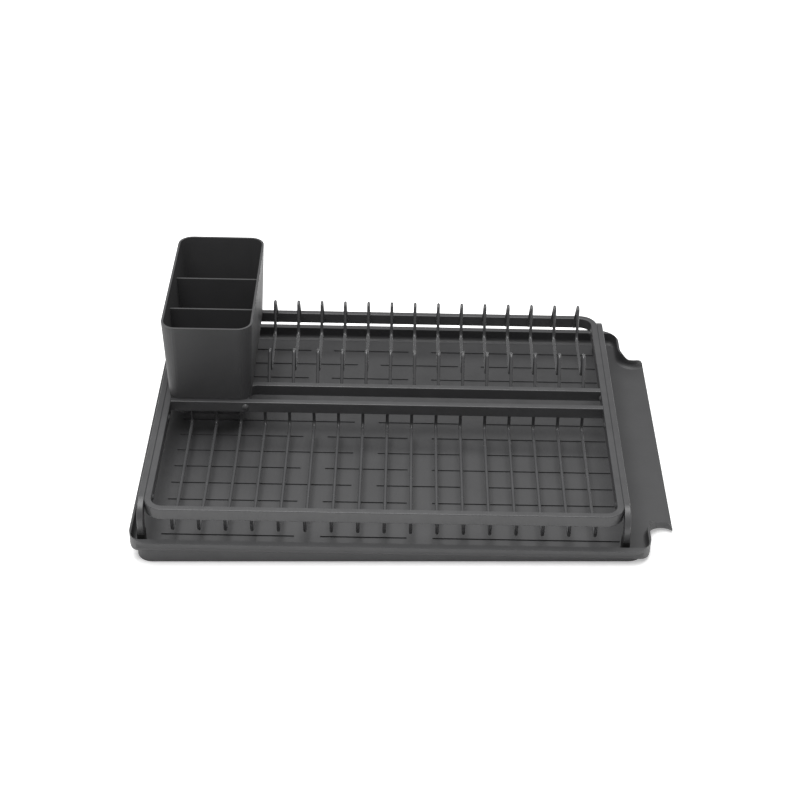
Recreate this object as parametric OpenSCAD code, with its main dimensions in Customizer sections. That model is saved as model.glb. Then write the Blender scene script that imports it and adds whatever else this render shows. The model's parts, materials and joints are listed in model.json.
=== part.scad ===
// Dish drying rack: a wire and strip rack with a cutlery holder,
// standing in a moulded drip tray that drains to a spout on its right side.
// The tray floor and everything on it lean by drain_slope towards the spout.
// Heights in the rack's own frame are measured from the tray floor.

/* [Frame ring] */
// Outside length of the ring
frame_l = 452; // [376:1:544]
// Outside depth of the ring
frame_d = 353; // [294:1:424]
// Thickness of the flat strip
strip_t = 6.5; // [4:0.1:8]
// Height of the flat strip
strip_h = 12; // [9:0.5:16]
// Rounding of the strip's long edges
strip_edge_r = 0.8; // [0.3:0.1:1.5]
// Outside corner radius of the ring
ring_r = 18; // [14:1:26]
// Height of the ring's top above the tray floor
ring_top = 44.2; // [36.7:0.1:60]

/* [Bars] */
// Distance of the cross bar behind the middle of the ring
cross_bar_y = 2.5; // [-20:0.5:10]
// Clear gap between the cross bar and the plate bar
bar_gap = 24.4; // [18:0.2:34]

/* [Legs] */
// Width of a leg strip across the rack
leg_w = 6; // [5:0.5:8]
// Depth of a leg strip
leg_t = 10; // [8:0.5:14]
// Outside radius of a leg's two bends
leg_bend_r = 20; // [14:1:30]
// Wall of a rubber foot cap
cap_wall = 0.7; // [0.5:0.1:1.5]
// Rubber under the end of a leg
cap_base = 2; // [1:0.5:4]
// Height of a foot cap
cap_h = 14; // [7:0.5:16]

/* [Rivets] */
// Shank diameter
rivet_d = 4; // [3:0.5:5]
// Head diameter
rivet_head_d = 7; // [6:0.5:9]
// Head height
rivet_head_h = 1.8; // [1:0.2:2.4]
// Gap between an inner rivet's head and the plate bar
rivet_gap = 0.5; // [0.3:0.1:4]
// Outer rivets: distance in from the ring's front and back
rivet_end = 26; // [22:1:40]

/* [Wires] */
// Wire diameter
wire_d = 3.2; // [2.4:0.1:4]
// Spacing of the wires
wire_pitch = 25; // [20:0.1:30]
// How far the plate wires stand to the right of the front wires
plate_shift = 2.2; // [0:0.1:4]
// Inside radius of the wires' bends
wire_bend_r = 4; // [3:0.5:6]
// Height of the front floor wires above the tray floor
basket_h = 12.5; // [8:0.5:20]
// How far a wire's end stops below the top of its bar
wire_end_drop = 3; // [2:0.5:5]
// Height of the short plate peaks above the tray floor
short_peak = 70; // [60:0.5:85]
// Height of the tall plate peaks above the tray floor
tall_peak = 74.5; // [66:0.5:95]
// Height of the plate rest at its front end
rest_front = 38.5; // [34:0.5:46]
// Height of the plate rest at its rear end
rest_rear = 41.5; // [34:0.5:50]

/* [Cutlery holder] */
// How far the holder's rim overhangs the ring at the back
holder_over = 6; // [2:0.5:9]
// Outside width of the holder's rim
holder_w = 91; // [80:1:94]
// Height of the rim above the ring
holder_h = 87; // [70:1:110]
// How far each side draws in from the rim to the shoulder
holder_draw = 4; // [2:0.5:6]
// Wall thickness
holder_wall = 2.2; // [1.6:0.1:3]
// Corner radius of the rim
holder_r = 15; // [10:1:20]
// Depth of the drop-in section under the shoulder
drop_h = 22.5; // [14:0.5:26]
// Divider thickness
divider_t = 2; // [1.5:0.1:3]
// How far the dividers stop below the rim
divider_drop = 15; // [8:1:30]
// Width of a drain slot
drain_w = 3; // [2:0.5:5]

/* [Drip tray] */
// From the left leg to the tray's left edge
left_room = 9; // [8:0.5:24]
// From the right leg to the tray's right edge, without the spout
right_room = 21.5; // [8:0.5:30]
// From the ring's front and back to the tray's edges, on average
end_room = 16; // [15.5:0.5:30]
// How far the tray's middle is behind the rack's middle
tray_back = 3; // [0:0.5:3.5]
// Outside corner radius
tray_r = 22; // [19:1:30]
// Width of the rim flange
rim_w = 6.5; // [5:0.5:9]
// Thickness of the rim flange's edge
rim_h = 4; // [3:0.5:6]
// Height of the rim above the tray floor
rim_top = 13.4; // [11:0.1:20]
// Wall and floor thickness
tray_wall = 2.2; // [1.8:0.1:3]
// Slope of the tray floor towards the spout, in degrees
drain_slope = 1.3; // [0.8:0.1:1.5]
// Height of the tray floor above the table at the middle of the rack
floor_lift = 9.4; // [9.2:0.1:14]
// How far the spout reaches past the tray's side
spout_reach = 25; // [18:1:27]
// From the tray's front and back to the narrowest part of the spout
spout_in = 51.5; // [50:0.5:80]
// Radius of the bites
bite_r = 14; // [13:0.5:16]
// Height of the spout's side walls above the tray floor
spout_rim = 8.5; // [6:0.5:10]

/* [Floor ribs] */
// Width of a rib
rib_w = 1.5; // [1:0.1:2.5]
// Height of a rib
rib_h = 1.2; // [0.8:0.1:2]
// Number of rows
rib_rows = 13; // [9:2:13]
// Gap between two dashes of a row
rib_gap = 25; // [15:1:35]

/* [Clearances] */
// Foot caps to the tray floor
foot_clear = 0.2; // [0.1:0.1:0.5]
// Holder to the bars that it rests on
seat_clear = 0.2; // [0.1:0.1:0.5]
// Drop-in section to the bars and wires round it
drop_clear = 1; // [0.5:0.1:2]
// Rivet shank to its hole, each side
rivet_clear = 0.05; // [0.02:0.01:0.1]

/* [Hidden] */
$fn = 48;
eps = 0.01;

wire_r = wire_d / 2;
bend_r = wire_bend_r + wire_r;
joint_step = 0.02;
joint_in = 0.2;
ring_base = ring_top - strip_h;
ring_inner_l = frame_l - 2 * strip_t;
ring_inner_d = frame_d - 2 * strip_t;

// Faces of the bars that the wires are welded to
cross_front = cross_bar_y - strip_t / 2;
cross_rear = cross_bar_y + strip_t / 2;
plate_bar_y = cross_rear + bar_gap + strip_t / 2;
wire_top = ring_top - wire_end_drop;

// The holder's rim is flush with the ring's left end
holder_left = -frame_l / 2;
holder_right = holder_left + holder_w;

// As many front wires as the straight part of the front bar takes, and plate
// wires from the same right end up to the holder
front_span = ring_inner_l - 2 * (ring_r - strip_t) - wire_d;
front_count = 1 + floor(front_span / wire_pitch);
front_first = -(front_count - 1) / 2 * wire_pitch;
plate_last = -front_first + plate_shift;
plate_count = 1 + floor((plate_last - holder_right - 10) / wire_pitch);
plate_first = plate_last - (plate_count - 1) * wire_pitch;

// The plate bar turns forward under the holder's rim, and its end is riveted
return_x = holder_right - 9;
bar_bend_r = 9;

// Side view of one plate wire, front to back, as [y, z]
tip_r = 2.4 + wire_r;
plate_front_y = plate_bar_y + strip_t / 2 + wire_r + joint_step;
plate_rear_y = ring_inner_d / 2 - wire_r - joint_step;
rest_front_y = plate_front_y + 28;
rest_rear_y = plate_rear_y - 35;
short_tip_over = 6.2;
tall_tip_over = 5.4;
plate_path = [
    [plate_front_y, ring_base + 2],
    [plate_front_y, ring_top - 5],
    [plate_front_y + 24, short_peak + short_tip_over],
    [rest_front_y, rest_front],
    [rest_rear_y, rest_rear],
    [rest_rear_y + 10.5, tall_peak + tall_tip_over],
    [plate_rear_y, ring_top - 5],
    [plate_rear_y, ring_base + 2]
];
plate_radii = [0, bend_r, tip_r, bend_r, bend_r, tip_r, bend_r, 0];

basket_front_y = -ring_inner_d / 2 + wire_r;
basket_rear_y = cross_rear + wire_r;
front_path = [
    [basket_rear_y, wire_top],
    [basket_rear_y, basket_h],
    [basket_front_y, basket_h],
    [basket_front_y, wire_top]
];
front_radii = [0, bend_r, bend_r, 0];

// Centre lines of the legs
leg_x = frame_l / 2 + leg_w / 2;
leg_y = frame_d / 2 - leg_t / 2;
leg_foot = foot_clear + cap_base;
rivet_z = ring_top - strip_h / 2;
rivet_inner = strip_t / 2 + bar_gap - rivet_gap - rivet_head_d / 2;
rivet_ys = [
    -frame_d / 2 + rivet_end,
    cross_bar_y - rivet_inner,
    cross_bar_y + rivet_inner,
    frame_d / 2 - rivet_end
];

// Cutlery holder, placed from the cross bar and the ring's left and rear sides
holder_front = cross_front + 0.25;
holder_d = frame_d / 2 + holder_over - holder_front;
holder_x = holder_left + holder_w / 2;
holder_y = holder_front + holder_d / 2;
shoulder_z = ring_top + seat_clear;
rim_z = ring_top + holder_h;
drop_left = -ring_inner_l / 2 + rivet_head_h + drop_clear + 1;
drop_right = return_x - strip_t / 2 - drop_clear;
drop_front = cross_rear + wire_d + drop_clear;
drop_rear = ring_inner_d / 2 - drop_clear - 1.5;
drop_r = 9;
drop_base = shoulder_z - drop_h;
drop_w = drop_right - drop_left;
drop_d = drop_rear - drop_front;
drop_x = (drop_left + drop_right) / 2;
drop_y = (drop_front + drop_rear) / 2;
cell_pitch = (holder_d - 2 * holder_wall) / 3;
divider_ys = [holder_y - cell_pitch / 2, holder_y + cell_pitch / 2];

// Tray: the pan is a flat core with its edge rounded by an ellipsoid
tray_left = frame_l / 2 + leg_w + left_room;
tray_right = frame_l / 2 + leg_w + right_room;
tray_l = tray_left + tray_right;
tray_d = frame_d + 2 * end_room;
cove_x = 3;
cove_y = 5;
side_rim_w = 2.2;
core_left = -tray_left + side_rim_w + cove_x;
core_right = tray_right - side_rim_w - cove_x;
core_half_d = tray_d / 2 - rim_w - cove_y;
core_r = 5;
spout_x = tray_right + spout_reach;
bite_x = tray_right + bite_r;
bite_y = tray_d / 2 - spout_in + bite_r;
skirt_gap = 0.9;
skirt_inset = 6.5;
pad_d = 16;
pad_inset = 30;

rib_pitch = 2 * (core_half_d - 20) / (rib_rows - 1);
rib_left = -frame_l / 2 + 13.5;
rib_right = frame_l / 2 - 0.5;

// The origin is the middle of the whole object's base
slope_shift = (rim_top - rim_h) * sin(drain_slope);
reach_left = -tray_left * cos(drain_slope) + slope_shift;
reach_right = spout_x * cos(drain_slope);
centre_x = (reach_left + reach_right) / 2;

front_names = [for (i = [1 : front_count]) str("front_wire_", i)];
plate_names = [for (i = [1 : plate_count]) str("plate_wire_", i)];
foot_names = ["left_front_foot", "left_rear_foot", "right_front_foot", "right_rear_foot"];

// Stands a piece of the rack on the leaning tray floor.
// The rack stands a little forward of the middle of the tray.
module on_floor() {
    translate([-centre_x, -tray_back, floor_lift])
        rotate([0, drain_slope, 0])
            children();
}

// The leaning part of the tray itself
module on_slope() {
    translate([-centre_x, 0, floor_lift])
        rotate([0, drain_slope, 0])
            children();
}

// A rectangle with round corners, made of true arcs
module round_rect(w, d, r) {
    square([w - 2 * r, d], center = true);
    square([w, d - 2 * r], center = true);
    for (x = [-1, 1], y = [-1, 1])
        translate([x * (w / 2 - r), y * (d / 2 - r)])
            circle(r);
}

// Cross-section of the flat strip: w wide, h high, centred
module strip_section(w, h) {
    round_rect(w, h, strip_edge_r, $fn = 16);
}

// A straight strip along +Y from the origin, w wide and h high
module strip_run(length, w, h) {
    rotate([90, 0, 180])
        linear_extrude(length)
            strip_section(w, h);
}

// A strip bent flat round the origin: r is the centreline's radius
module strip_turn(r, start, sweep, w, h) {
    rotate([0, 0, start])
        rotate_extrude(angle = sweep)
            translate([r, 0])
                strip_section(w, h);
}

// Helpers for a wire bent in one plane
function unit(v) = v / norm(v);
function cross_z(a, b) = a[0] * b[1] - a[1] * b[0];
function heading(v) = atan2(v[1], v[0]);
function turn_at(p, i) = let (a = unit(p[i] - p[i - 1]), b = unit(p[i + 1] - p[i]))
    atan2(cross_z(a, b), a * b);
function bend_cut(p, r, i) = r[i] == 0 ? 0 : r[i] * tan(abs(turn_at(p, i)) / 2);

// A wire through the points p, each corner rounded by its radius in r.
// The bends are a hair thicker, so the straight runs end inside them.
module bent_wire(p, r) {
    for (i = [0 : len(p) - 2]) {
        dir = unit(p[i + 1] - p[i]);
        from = p[i] + dir * (i == 0 ? 0 : bend_cut(p, r, i) - joint_in);
        to = p[i + 1] - dir * (i == len(p) - 2 ? 0 : bend_cut(p, r, i + 1) - joint_in);
        translate([from[0], from[1], 0])
            rotate([0, 0, heading(dir)])
                rotate([0, 90, 0])
                    cylinder(h = norm(to - from), d = wire_d, $fn = 24);
    }
    for (i = [1 : len(p) - 2])
        wire_corner(p, r[i], i);
}

module wire_corner(p, r, i) {
    turn = turn_at(p, i);
    side = sign(turn);
    dir = unit(p[i] - p[i - 1]);
    cut = r * tan(abs(turn) / 2);
    centre = p[i] - dir * cut + [-dir[1], dir[0]] * side * r;
    first = heading(dir) - 90 * side;
    translate([centre[0], centre[1], 0])
        rotate([0, 0, side > 0 ? first : first + turn])
            rotate_extrude(angle = abs(turn))
                translate([r, 0])
                    circle(d = wire_d + 2 * joint_step, $fn = 24);
}

// Lays a side view, drawn as [y, z], in the plane at x
module side_view(x) {
    translate([x, 0, 0])
        rotate([90, 0, 90])
            children();
}

module frame_ring() {
    mid_l = frame_l / 2 - strip_t / 2;
    mid_d = frame_d / 2 - strip_t / 2;
    r = ring_r - strip_t / 2;
    color("#3b3b3c")
        on_floor()
            difference() {
                translate([0, 0, ring_top - strip_h / 2]) {
                    for (s = [-1, 1]) {
                        translate([s * mid_l, -mid_d + r, 0])
                            strip_run(2 * (mid_d - r), strip_t, strip_h);
                        translate([mid_l - r, s * mid_d, 0])
                            rotate([0, 0, 90])
                                strip_run(2 * (mid_l - r), strip_t, strip_h);
                    }
                    for (q = [[1, 1, 0], [-1, 1, 90], [-1, -1, 180], [1, -1, 270]])
                        translate([q[0] * (mid_l - r), q[1] * (mid_d - r), 0])
                            strip_turn(r, q[2], 90, strip_t, strip_h);
                }
                rivet_holes(-1);
                rivet_holes(1);
            }
}

module cross_bar() {
    color("#3b3b3c")
        on_floor()
            difference() {
                translate([ring_inner_l / 2, cross_bar_y, ring_top - strip_h / 2])
                    rotate([0, 0, 90])
                        strip_run(ring_inner_l, strip_t, strip_h);
                translate([return_x, cross_front - 1, rivet_z])
                    rotate([-90, 0, 0])
                        cylinder(h = strip_t + 2, d = rivet_d + 2 * rivet_clear);
            }
}

// The plate bar runs left from the ring, then turns forward to the cross bar
module plate_bar() {
    turn_x = return_x + bar_bend_r;
    turn_y = plate_bar_y - bar_bend_r;
    color("#3b3b3c")
        on_floor()
            difference() {
                translate([0, 0, ring_top - strip_h / 2]) {
                    translate([ring_inner_l / 2, plate_bar_y, 0])
                        rotate([0, 0, 90])
                            strip_run(ring_inner_l / 2 - turn_x, strip_t, strip_h);
                    translate([turn_x, turn_y, 0])
                        strip_turn(bar_bend_r, 90, 90, strip_t, strip_h);
                    translate([return_x, cross_rear, 0])
                        strip_run(turn_y - cross_rear, strip_t, strip_h);
                }
                translate([return_x, cross_rear - 1, rivet_z])
                    rotate([-90, 0, 0])
                        cylinder(h = 1 + rivet_d, d = rivet_d + 2 * rivet_clear);
            }
}

// Through holes for one side's rivets: side is -1 on the left, 1 on the right
module rivet_holes(side) {
    for (y = rivet_ys)
        translate([side * (frame_l / 2 - strip_t - 1), y, rivet_z])
            rotate([0, side * 90, 0])
                cylinder(h = strip_t + leg_w + 2, d = rivet_d + 2 * rivet_clear);
}

// One inverted U of strip, standing outside the end of the ring
module leg(side) {
    mid_r = leg_bend_r - leg_t / 2;
    top = ring_top - leg_t / 2;
    color("#3b3b3c")
        on_floor()
            difference() {
                side_view(side * leg_x) {
                    translate([-leg_y + mid_r, top, 0])
                        rotate([0, 0, -90])
                            strip_run(2 * (leg_y - mid_r), leg_t, leg_w);
                    for (s = [-1, 1]) {
                        translate([s * leg_y, leg_foot, 0])
                            strip_run(top - mid_r - leg_foot, leg_t, leg_w);
                        translate([s * (leg_y - mid_r), top - mid_r, 0])
                            strip_turn(mid_r, s > 0 ? 0 : 90, 90, leg_t, leg_w);
                    }
                }
                rivet_holes(side);
            }
}

// Rubber cap pushed on the end of a leg
module foot_cap(side, end) {
    color("#262626")
        on_floor()
            translate([side * leg_x, end * leg_y, foot_clear])
                difference() {
                    linear_extrude(cap_h)
                        round_rect(leg_w + 2 * cap_wall, leg_t + 2 * cap_wall, strip_edge_r + cap_wall, $fn = 16);
                    translate([0, 0, cap_base])
                        linear_extrude(cap_h)
                            strip_section(leg_w, leg_t);
                }
}

// Domed rivet on the +Z axis: the head is under the origin, the shank above
module rivet(shank) {
    ball_r = (rivet_head_h * rivet_head_h + rivet_head_d * rivet_head_d / 4) / (2 * rivet_head_h);
    intersection() {
        translate([0, 0, ball_r - rivet_head_h])
            sphere(ball_r);
        translate([0, 0, -rivet_head_h - 1])
            cylinder(h = rivet_head_h + 1, d = rivet_head_d + 1);
    }
    translate([0, 0, -eps])
        cylinder(h = shank + eps, d = rivet_d);
}

module side_rivets(side) {
    color("#4a4a4b")
        on_floor()
            for (y = rivet_ys)
                translate([side * ring_inner_l / 2, y, rivet_z])
                    rotate([0, side * 90, 0])
                        rivet(strip_t + leg_w);
}

module bar_rivet() {
    color("#4a4a4b")
        on_floor()
            translate([return_x, cross_front, rivet_z])
                rotate([-90, 0, 0])
                    rivet(strip_t + rivet_d - 0.5);
}

module front_wire(i) {
    color("#5a5a5b")
        on_floor()
            side_view(front_first + (i - 1) * wire_pitch)
                bent_wire(front_path, front_radii);
}

module plate_wire(i) {
    color("#5a5a5b")
        on_floor()
            side_view(plate_first + (i - 1) * wire_pitch)
                bent_wire(plate_path, plate_radii);
}

// A thin plate of the holder's plan, grown by grow on every side
module holder_slice(z, grow, r) {
    translate([holder_x, holder_y, z])
        linear_extrude(eps)
            round_rect(holder_w + 2 * grow, holder_d + 2 * grow, r, $fn = 32);
}

module holder_body(inset, low, high) {
    draw = holder_draw / (rim_z - shoulder_z);
    hull() {
        holder_slice(low, -inset - draw * (rim_z - low), holder_r - inset - draw * (rim_z - low));
        holder_slice(high - eps, -inset - draw * (rim_z - high), holder_r - inset);
    }
}

module drop_section(inset, low, high) {
    translate([drop_x, drop_y, low])
        linear_extrude(high - low)
            round_rect(drop_w - 2 * inset, drop_d - 2 * inset, drop_r - inset);
}

// Drain slots across the holder's base, one group under each compartment
module drain_slots() {
    pitch = 2.6 * drain_w;
    per_cell = floor((drop_d / 3 - 16) / pitch);
    slot_l = drop_w - 28;
    for (c = [-1, 0, 1], i = [0 : per_cell - 1])
        translate([drop_x, drop_y + c * drop_d / 3 + (i - (per_cell - 1) / 2) * pitch, drop_base - 1])
            linear_extrude(holder_wall + 2)
                round_rect(slot_l, drain_w, drain_w / 2 - eps);
}

// Tapered tub with a shoulder, a drop-in section and two moulded dividers
module cutlery_holder() {
    color("#2f2f30")
        on_floor() {
            difference() {
                union() {
                    holder_body(0, shoulder_z, rim_z);
                    drop_section(0, drop_base, shoulder_z + eps);
                }
                holder_body(holder_wall, shoulder_z + holder_wall, rim_z + 1);
                drop_section(holder_wall, drop_base + holder_wall, shoulder_z + holder_wall + eps);
                drain_slots();
            }
            holder_dividers();
        }
}

module holder_dividers() {
    top = rim_z - divider_drop;
    intersection() {
        union() {
            holder_body(holder_wall / 2, shoulder_z + holder_wall / 2, rim_z);
            drop_section(holder_wall / 2, drop_base + holder_wall / 2, shoulder_z + holder_wall);
        }
        for (y = divider_ys)
            translate([holder_x - holder_w / 2, y - divider_t / 2, drop_base])
                cube([holder_w, divider_t, top - drop_base]);
    }
}

// Plan of the whole tray: a rounded body and a spout between two round bites
module tray_outline() {
    tip_r = 2;
    offset(r = tip_r, $fn = 48)
        offset(delta = -tip_r)
            difference() {
                union() {
                    translate([(tray_right - tray_left) / 2, 0])
                        round_rect(tray_l, tray_d, tray_r);
                    translate([0, -bite_y])
                        square([spout_x, 2 * bite_y]);
                }
                for (s = [-1, 1])
                    translate([bite_x, s * bite_y])
                        circle(bite_r);
            }
}

// Flat core of the pan, before its edges are rounded
module pan_core() {
    wide = 20;
    difference() {
        union() {
            translate([(core_left + core_right) / 2, 0])
                round_rect(core_right - core_left, 2 * core_half_d, core_r, $fn = 20);
            translate([0, -bite_y])
                square([spout_x + wide, 2 * bite_y]);
        }
        for (s = [-1, 1])
            translate([bite_x, s * bite_y])
                scale([1, (bite_r + 2 + cove_y) / (bite_r + 2 + cove_x)])
                    circle(bite_r + 2 + cove_x, $fn = 40);
    }
}

// The pan's hollow, or its outside when grown by the wall
module pan_form(grow) {
    round_x = cove_x + grow;
    round_y = cove_y + grow;
    minkowski() {
        translate([0, 0, cove_y])
            linear_extrude(2 * rim_top)
                pan_core();
        scale([round_x / round_y, 1, 1])
            sphere(round_y, $fn = 20);
    }
}

// Everything above the spout's side walls: they dip from the rim to spout_rim,
// and end in a quarter round at the tip.
module spout_end_cut() {
    dip = 9;
    steps = 8;
    round_x = spout_x - spout_rim;
    high = 3 * rim_top;
    dip_line = [for (i = [0 : steps])
        let (t = i / steps)
        [tray_right + t * dip, rim_top + (spout_rim - rim_top) * (1 - cos(180 * t)) / 2]];
    round_line = [for (i = [0 : steps])
        let (a = 90 - 90 * i / steps)
        [round_x + spout_rim * cos(a), spout_rim * sin(a)]];
    translate([0, tray_d, 0])
        rotate([90, 0, 0])
            linear_extrude(2 * tray_d)
                polygon(concat(
                    [[tray_right, high]],
                    dip_line,
                    round_line,
                    [[spout_x + spout_rim, 0], [spout_x + spout_rim, high]]
                ));
}

module floor_ribs() {
    span = rib_right - rib_left;
    dash_odd = [0, 0.317, 0.562, 1];
    dash_even = [0, 0.436, 0.686, 1];
    for (row = [0 : rib_rows - 1]) {
        cuts = row % 2 == 0 ? dash_odd : dash_even;
        y = (row - (rib_rows - 1) / 2) * rib_pitch;
        for (k = [0 : 2]) {
            from = rib_left + cuts[k] * span + (k == 0 ? 0 : rib_gap / 2);
            to = rib_left + cuts[k + 1] * span - (k == 2 ? 0 : rib_gap / 2);
            translate([from, y - rib_w / 2, -tray_wall / 2])
                cube([to - from, rib_w, tray_wall / 2 + rib_h]);
        }
    }
}

// Plan of the skirt that stands on the table
module skirt_plan(inset) {
    w = tray_l - 2 * (skirt_inset + inset);
    d = tray_d - 2 * (skirt_inset + inset);
    translate([(tray_right - tray_left) / 2 - centre_x, 0])
        round_rect(w, d, tray_r - skirt_inset - inset);
}

module drip_tray() {
    color("#464647") {
        on_slope()
            difference() {
                union() {
                    intersection() {
                        pan_form(tray_wall);
                        translate([0, 0, -tray_wall])
                            linear_extrude(tray_wall + rim_top)
                                tray_outline();
                    }
                    translate([0, 0, rim_top - rim_h])
                        linear_extrude(rim_h)
                            tray_outline();
                }
                pan_form(0);
                spout_end_cut();
            }
        on_slope()
            floor_ribs();
        tray_skirt();
    }
}

// Wedge-shaped skirt with four bosses for the pads, cut off by the tray floor
module tray_skirt() {
    intersection() {
        union() {
            translate([0, 0, skirt_gap])
                linear_extrude(3 * floor_lift)
                    difference() {
                        skirt_plan(0);
                        skirt_plan(tray_wall);
                    }
            for (p = pad_places())
                translate([p[0], p[1], skirt_gap])
                    cylinder(h = 3 * floor_lift, d = pad_d + 3);
        }
        on_slope()
            translate([-tray_l, -tray_d, -3 * floor_lift - tray_wall / 2])
                cube([2 * tray_l, 2 * tray_d, 3 * floor_lift + tray_wall / 2 + eps]);
    }
}

function pad_places() = [for (x = [-1, 1], y = [-1, 1])
    [(tray_right - tray_left) / 2 - centre_x + x * (tray_l / 2 - pad_inset), y * (tray_d / 2 - pad_inset)]];

// Four round anti-slip pads under the skirt's bosses
module tray_pads() {
    color("#262626")
        for (p = pad_places())
            translate([p[0], p[1], 0])
                cylinder(h = skirt_gap, d = pad_d);
}

drip_tray();
tray_pads();
frame_ring();
cross_bar();
plate_bar();
leg(-1);  // left_leg
leg(1);  // right_leg
side_rivets(-1);  // left_rivets
side_rivets(1);  // right_rivets
bar_rivet();
foot_cap(-1, -1);  // left_front_foot
foot_cap(-1, 1);  // left_rear_foot
foot_cap(1, -1);  // right_front_foot
foot_cap(1, 1);  // right_rear_foot
cutlery_holder();
for (i = [1 : front_count])
    front_wire(i);
for (i = [1 : plate_count])
    plate_wire(i);
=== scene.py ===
# Dish drying rack: coated strip and wire in a moulded drip tray, with a cutlery holder.
import json
import math

import bpy
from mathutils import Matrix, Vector

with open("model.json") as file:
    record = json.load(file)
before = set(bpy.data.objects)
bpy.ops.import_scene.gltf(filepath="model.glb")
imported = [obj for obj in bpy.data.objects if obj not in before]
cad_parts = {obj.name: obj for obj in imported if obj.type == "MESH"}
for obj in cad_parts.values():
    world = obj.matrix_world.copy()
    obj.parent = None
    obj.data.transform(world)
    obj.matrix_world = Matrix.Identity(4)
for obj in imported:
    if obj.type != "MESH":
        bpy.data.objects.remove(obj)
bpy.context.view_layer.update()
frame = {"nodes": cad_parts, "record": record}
nodes = frame["nodes"]
mm = 0.001


def toLinear(hexColour):
    # sRGB hex, such as "3c3c3d", to linear RGBA
    channels = [int(hexColour[i:i + 2], 16) / 255 for i in (0, 2, 4)]
    linear = [c / 12.92 if c <= 0.04045 else ((c + 0.055) / 1.055) ** 2.4 for c in channels]
    return (*linear, 1.0)


def addNode(tree, kind, inputs=None, links=None):
    # One node: its socket values, and its links as {socket: another node's output}
    node = tree.nodes.new(kind)
    for name, value in (inputs or {}).items():
        node.inputs[name].default_value = value
    for name, source in (links or {}).items():
        tree.links.new(source, node.inputs[name])
    return node


# Camera and light

view = {
    "position": (0.0177, -1.462, 1.0809),  # metres, a standing person's view from the front
    "lookDown": 35.0,  # degrees below level
    "lens": 79.1,  # mm
    "sensorWidth": 36.0,  # mm
    "shiftX": -0.028,
    "clipEnd": 20.0,  # metres
}


def makeCamera():
    data = bpy.data.cameras.new("camera")
    data.lens = view["lens"]
    data.sensor_width = view["sensorWidth"]
    data.shift_x = view["shiftX"]
    data.clip_end = view["clipEnd"]
    camera = bpy.data.objects.new("camera", data)
    camera.location = view["position"]
    camera.rotation_euler = (math.radians(90.0 - view["lookDown"]), 0.0, 0.0)
    bpy.context.scene.collection.objects.link(camera)
    bpy.context.scene.camera = camera


studio = {
    "worldStrength": 0.38,
    "white": (1.0, 1.0, 1.0, 1.0),
    "floorSize": 8.0,  # metres
    "floorColour": "f4f4f4",
    "floorRoughness": 0.9,
    "floorSpecular": 0.1,
    "floorGlow": 0.35,  # keeps the paper white right up to the rack
}

# Softboxes: size and place in metres, power in watts; each one points at the middle of the base
softboxes = {
    "overheadSoftbox": {"size": (1.5, 1.0), "place": (0.1, 0.4, 1.6), "power": 24.0},
    "frontSoftbox": {"size": (1.2, 0.8), "place": (-0.35, -0.45, 1.6), "power": 20.0},
}


def makeSoftbox(name, place, size, power):
    lamp = bpy.data.lights.new(name, "AREA")
    lamp.shape = "RECTANGLE"
    lamp.size, lamp.size_y = size
    lamp.energy = power
    softbox = bpy.data.objects.new(name, lamp)
    softbox.location = place
    softbox.rotation_euler = Vector(place).to_track_quat("Z", "Y").to_euler()
    bpy.context.scene.collection.objects.link(softbox)


def makeStudio():
    world = bpy.data.worlds.new("studio")
    world.use_nodes = True
    background = world.node_tree.nodes["Background"]
    background.inputs["Color"].default_value = studio["white"]
    background.inputs["Strength"].default_value = studio["worldStrength"]
    bpy.context.scene.world = world
    for name, box in softboxes.items():
        makeSoftbox(name, box["place"], box["size"], box["power"])

    bpy.ops.mesh.primitive_plane_add(size=studio["floorSize"])
    floor = bpy.context.object
    floor.name = "studioFloor"
    paper = bpy.data.materials.new("studioPaper")
    paper.use_nodes = True
    shader = paper.node_tree.nodes["Principled BSDF"]
    shader.inputs["Base Color"].default_value = toLinear(studio["floorColour"])
    shader.inputs["Roughness"].default_value = studio["floorRoughness"]
    shader.inputs["Specular IOR Level"].default_value = studio["floorSpecular"]
    shader.inputs["Emission Color"].default_value = studio["white"]
    shader.inputs["Emission Strength"].default_value = studio["floorGlow"]
    floor.data.materials.append(paper)
    bpy.context.scene.view_settings.view_transform = "Standard"


makeCamera()
makeStudio()
print("camera and studio ready")


# Finishes

def startMaterial(name, hexColour, roughness, specular):
    material = bpy.data.materials.new(name)
    material.use_nodes = True
    tree = material.node_tree
    shader = tree.nodes["Principled BSDF"]
    shader.inputs["Base Color"].default_value = toLinear(hexColour)
    shader.inputs["Roughness"].default_value = roughness
    shader.inputs["Specular IOR Level"].default_value = specular
    place = addNode(tree, "ShaderNodeTexCoord")
    return material, tree, shader, place.outputs["Object"]


def perMetre(sizeMm):
    # Noise scale whose features are about sizeMm wide
    return 1.0 / (sizeMm * mm)


noiseRange = (0.3, 0.7)  # the part of the noise's 0 to 1 that most of it falls in


def addNoise(tree, place, sizeMm, detail):
    return addNode(tree, "ShaderNodeTexNoise", inputs={"Scale": perMetre(sizeMm), "Detail": detail},
                   links={"Vector": place})


def mottled(tree, place, sizeMm, low, high):
    # A colour that drifts between two hex colours over sizeMm
    noise = addNoise(tree, place, sizeMm, 3.0)
    ramp = addNode(tree, "ShaderNodeValToRGB", links={"Fac": noise.outputs["Fac"]})
    for stop, position, hexColour in zip(ramp.color_ramp.elements, noiseRange, (low, high)):
        stop.position = position
        stop.color = toLinear(hexColour)
    return ramp.outputs["Color"]


def spread(tree, place, sizeMm, low, high):
    # A number that drifts from low to high over sizeMm
    noise = addNoise(tree, place, sizeMm, 3.0)
    ranged = addNode(tree, "ShaderNodeMapRange",
                     inputs={"From Min": noiseRange[0], "From Max": noiseRange[1],
                             "To Min": low, "To Max": high},
                     links={"Value": noise.outputs["Fac"]})
    return ranged.outputs["Result"]


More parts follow.
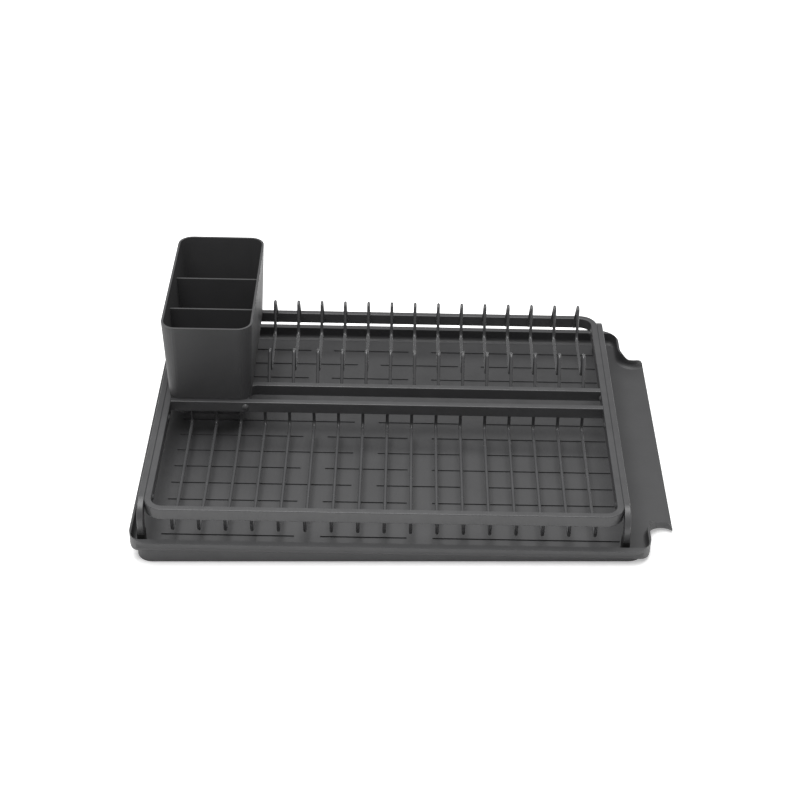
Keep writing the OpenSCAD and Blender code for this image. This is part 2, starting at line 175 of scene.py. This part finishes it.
def grain(tree, place, sizeMm, depthMm):
    # A bump normal from noise of that size and depth
    noise = addNoise(tree, place, sizeMm, 2.0)
    bump = addNode(tree, "ShaderNodeBump", inputs={"Strength": 1.0, "Distance": depthMm * mm},
                   links={"Height": noise.outputs["Fac"]})
    return bump.outputs["Normal"]


def makeFinish(name, look, surface):
    # look is what differs between the pieces, surface is what the finish gives them all
    roughness = look["roughness"]
    duller, glossier = surface["roughnessSpread"]
    material, tree, shader, place = startMaterial(name, look["base"], roughness, surface["specular"])
    colour = mottled(tree, place, surface["driftMm"], look["low"], look["high"])
    tree.links.new(colour, shader.inputs["Base Color"])
    sheen = spread(tree, place, surface["sheenMm"], roughness - glossier, roughness + duller)
    tree.links.new(sheen, shader.inputs["Roughness"])
    tree.links.new(grain(tree, place, surface["grainMm"], surface["grainDepthMm"]), shader.inputs["Normal"])
    return material


# ABS moulded in a spark-eroded tool: a matt skin with a fine even grain and a soft, broad sheen.
# The real grain is about 0.1 mm wide; 1.2 mm is the finest that shows.
mouldedAbs = {
    "specular": 0.5,
    "driftMm": 45.0,
    "sheenMm": 18.0,
    "roughnessSpread": (0.05, 0.04),  # up, down
    "grainMm": 1.2,
    "grainDepthMm": 0.035,
}
trayLook = {"base": "333334", "low": "333334", "high": "383839", "roughness": 0.52}
holderLook = {"base": "353536", "low": "353536", "high": "39393a", "roughness": 0.55}

# Powder coat baked on steel: satin, with a faint orange peel that breaks up the highlights
powderCoat = {
    "specular": 0.5,
    "driftMm": 30.0,
    "sheenMm": 9.0,
    "roughnessSpread": (0.05, 0.05),
    "grainMm": 1.6,
    "grainDepthMm": 0.03,
}
stripLook = {"base": "3b3b3c", "low": "3b3b3c", "high": "404041", "roughness": 0.38}
wireLook = {"base": "404041", "low": "404041", "high": "454546", "roughness": 0.24}
rivetLook = {"base": "3d3d3e", "low": "3d3d3e", "high": "444445", "roughness": 0.35}

# Moulded rubber: very dark, dull, slightly dusty
mouldedRubber = {
    "specular": 0.35,
    "driftMm": 4.0,
    "sheenMm": 3.0,
    "roughnessSpread": (0.07, 0.07),
    "grainMm": 0.8,
    "grainDepthMm": 0.02,
}
footLook = {"base": "1c1c1c", "low": "191919", "high": "242424", "roughness": 0.75}

finishes = {
    "tray_plastic": makeFinish("mouldedAbsTray", trayLook, mouldedAbs),
    "holder_plastic": makeFinish("mouldedAbsHolder", holderLook, mouldedAbs),
    "frame_coating": makeFinish("powderCoatStrip", stripLook, powderCoat),
    "wire_coating": makeFinish("powderCoatWire", wireLook, powderCoat),
    "rivet_coating": makeFinish("powderCoatRivet", rivetLook, powderCoat),
    "rubber": makeFinish("mouldedRubber", footLook, mouldedRubber),
}

for part in frame["record"]["subparts"]:
    piece = nodes[part["node"]]
    piece.data.materials.clear()
    piece.data.materials.append(finishes[part["material_slot"]])
print("finishes on", len(nodes), "parts")
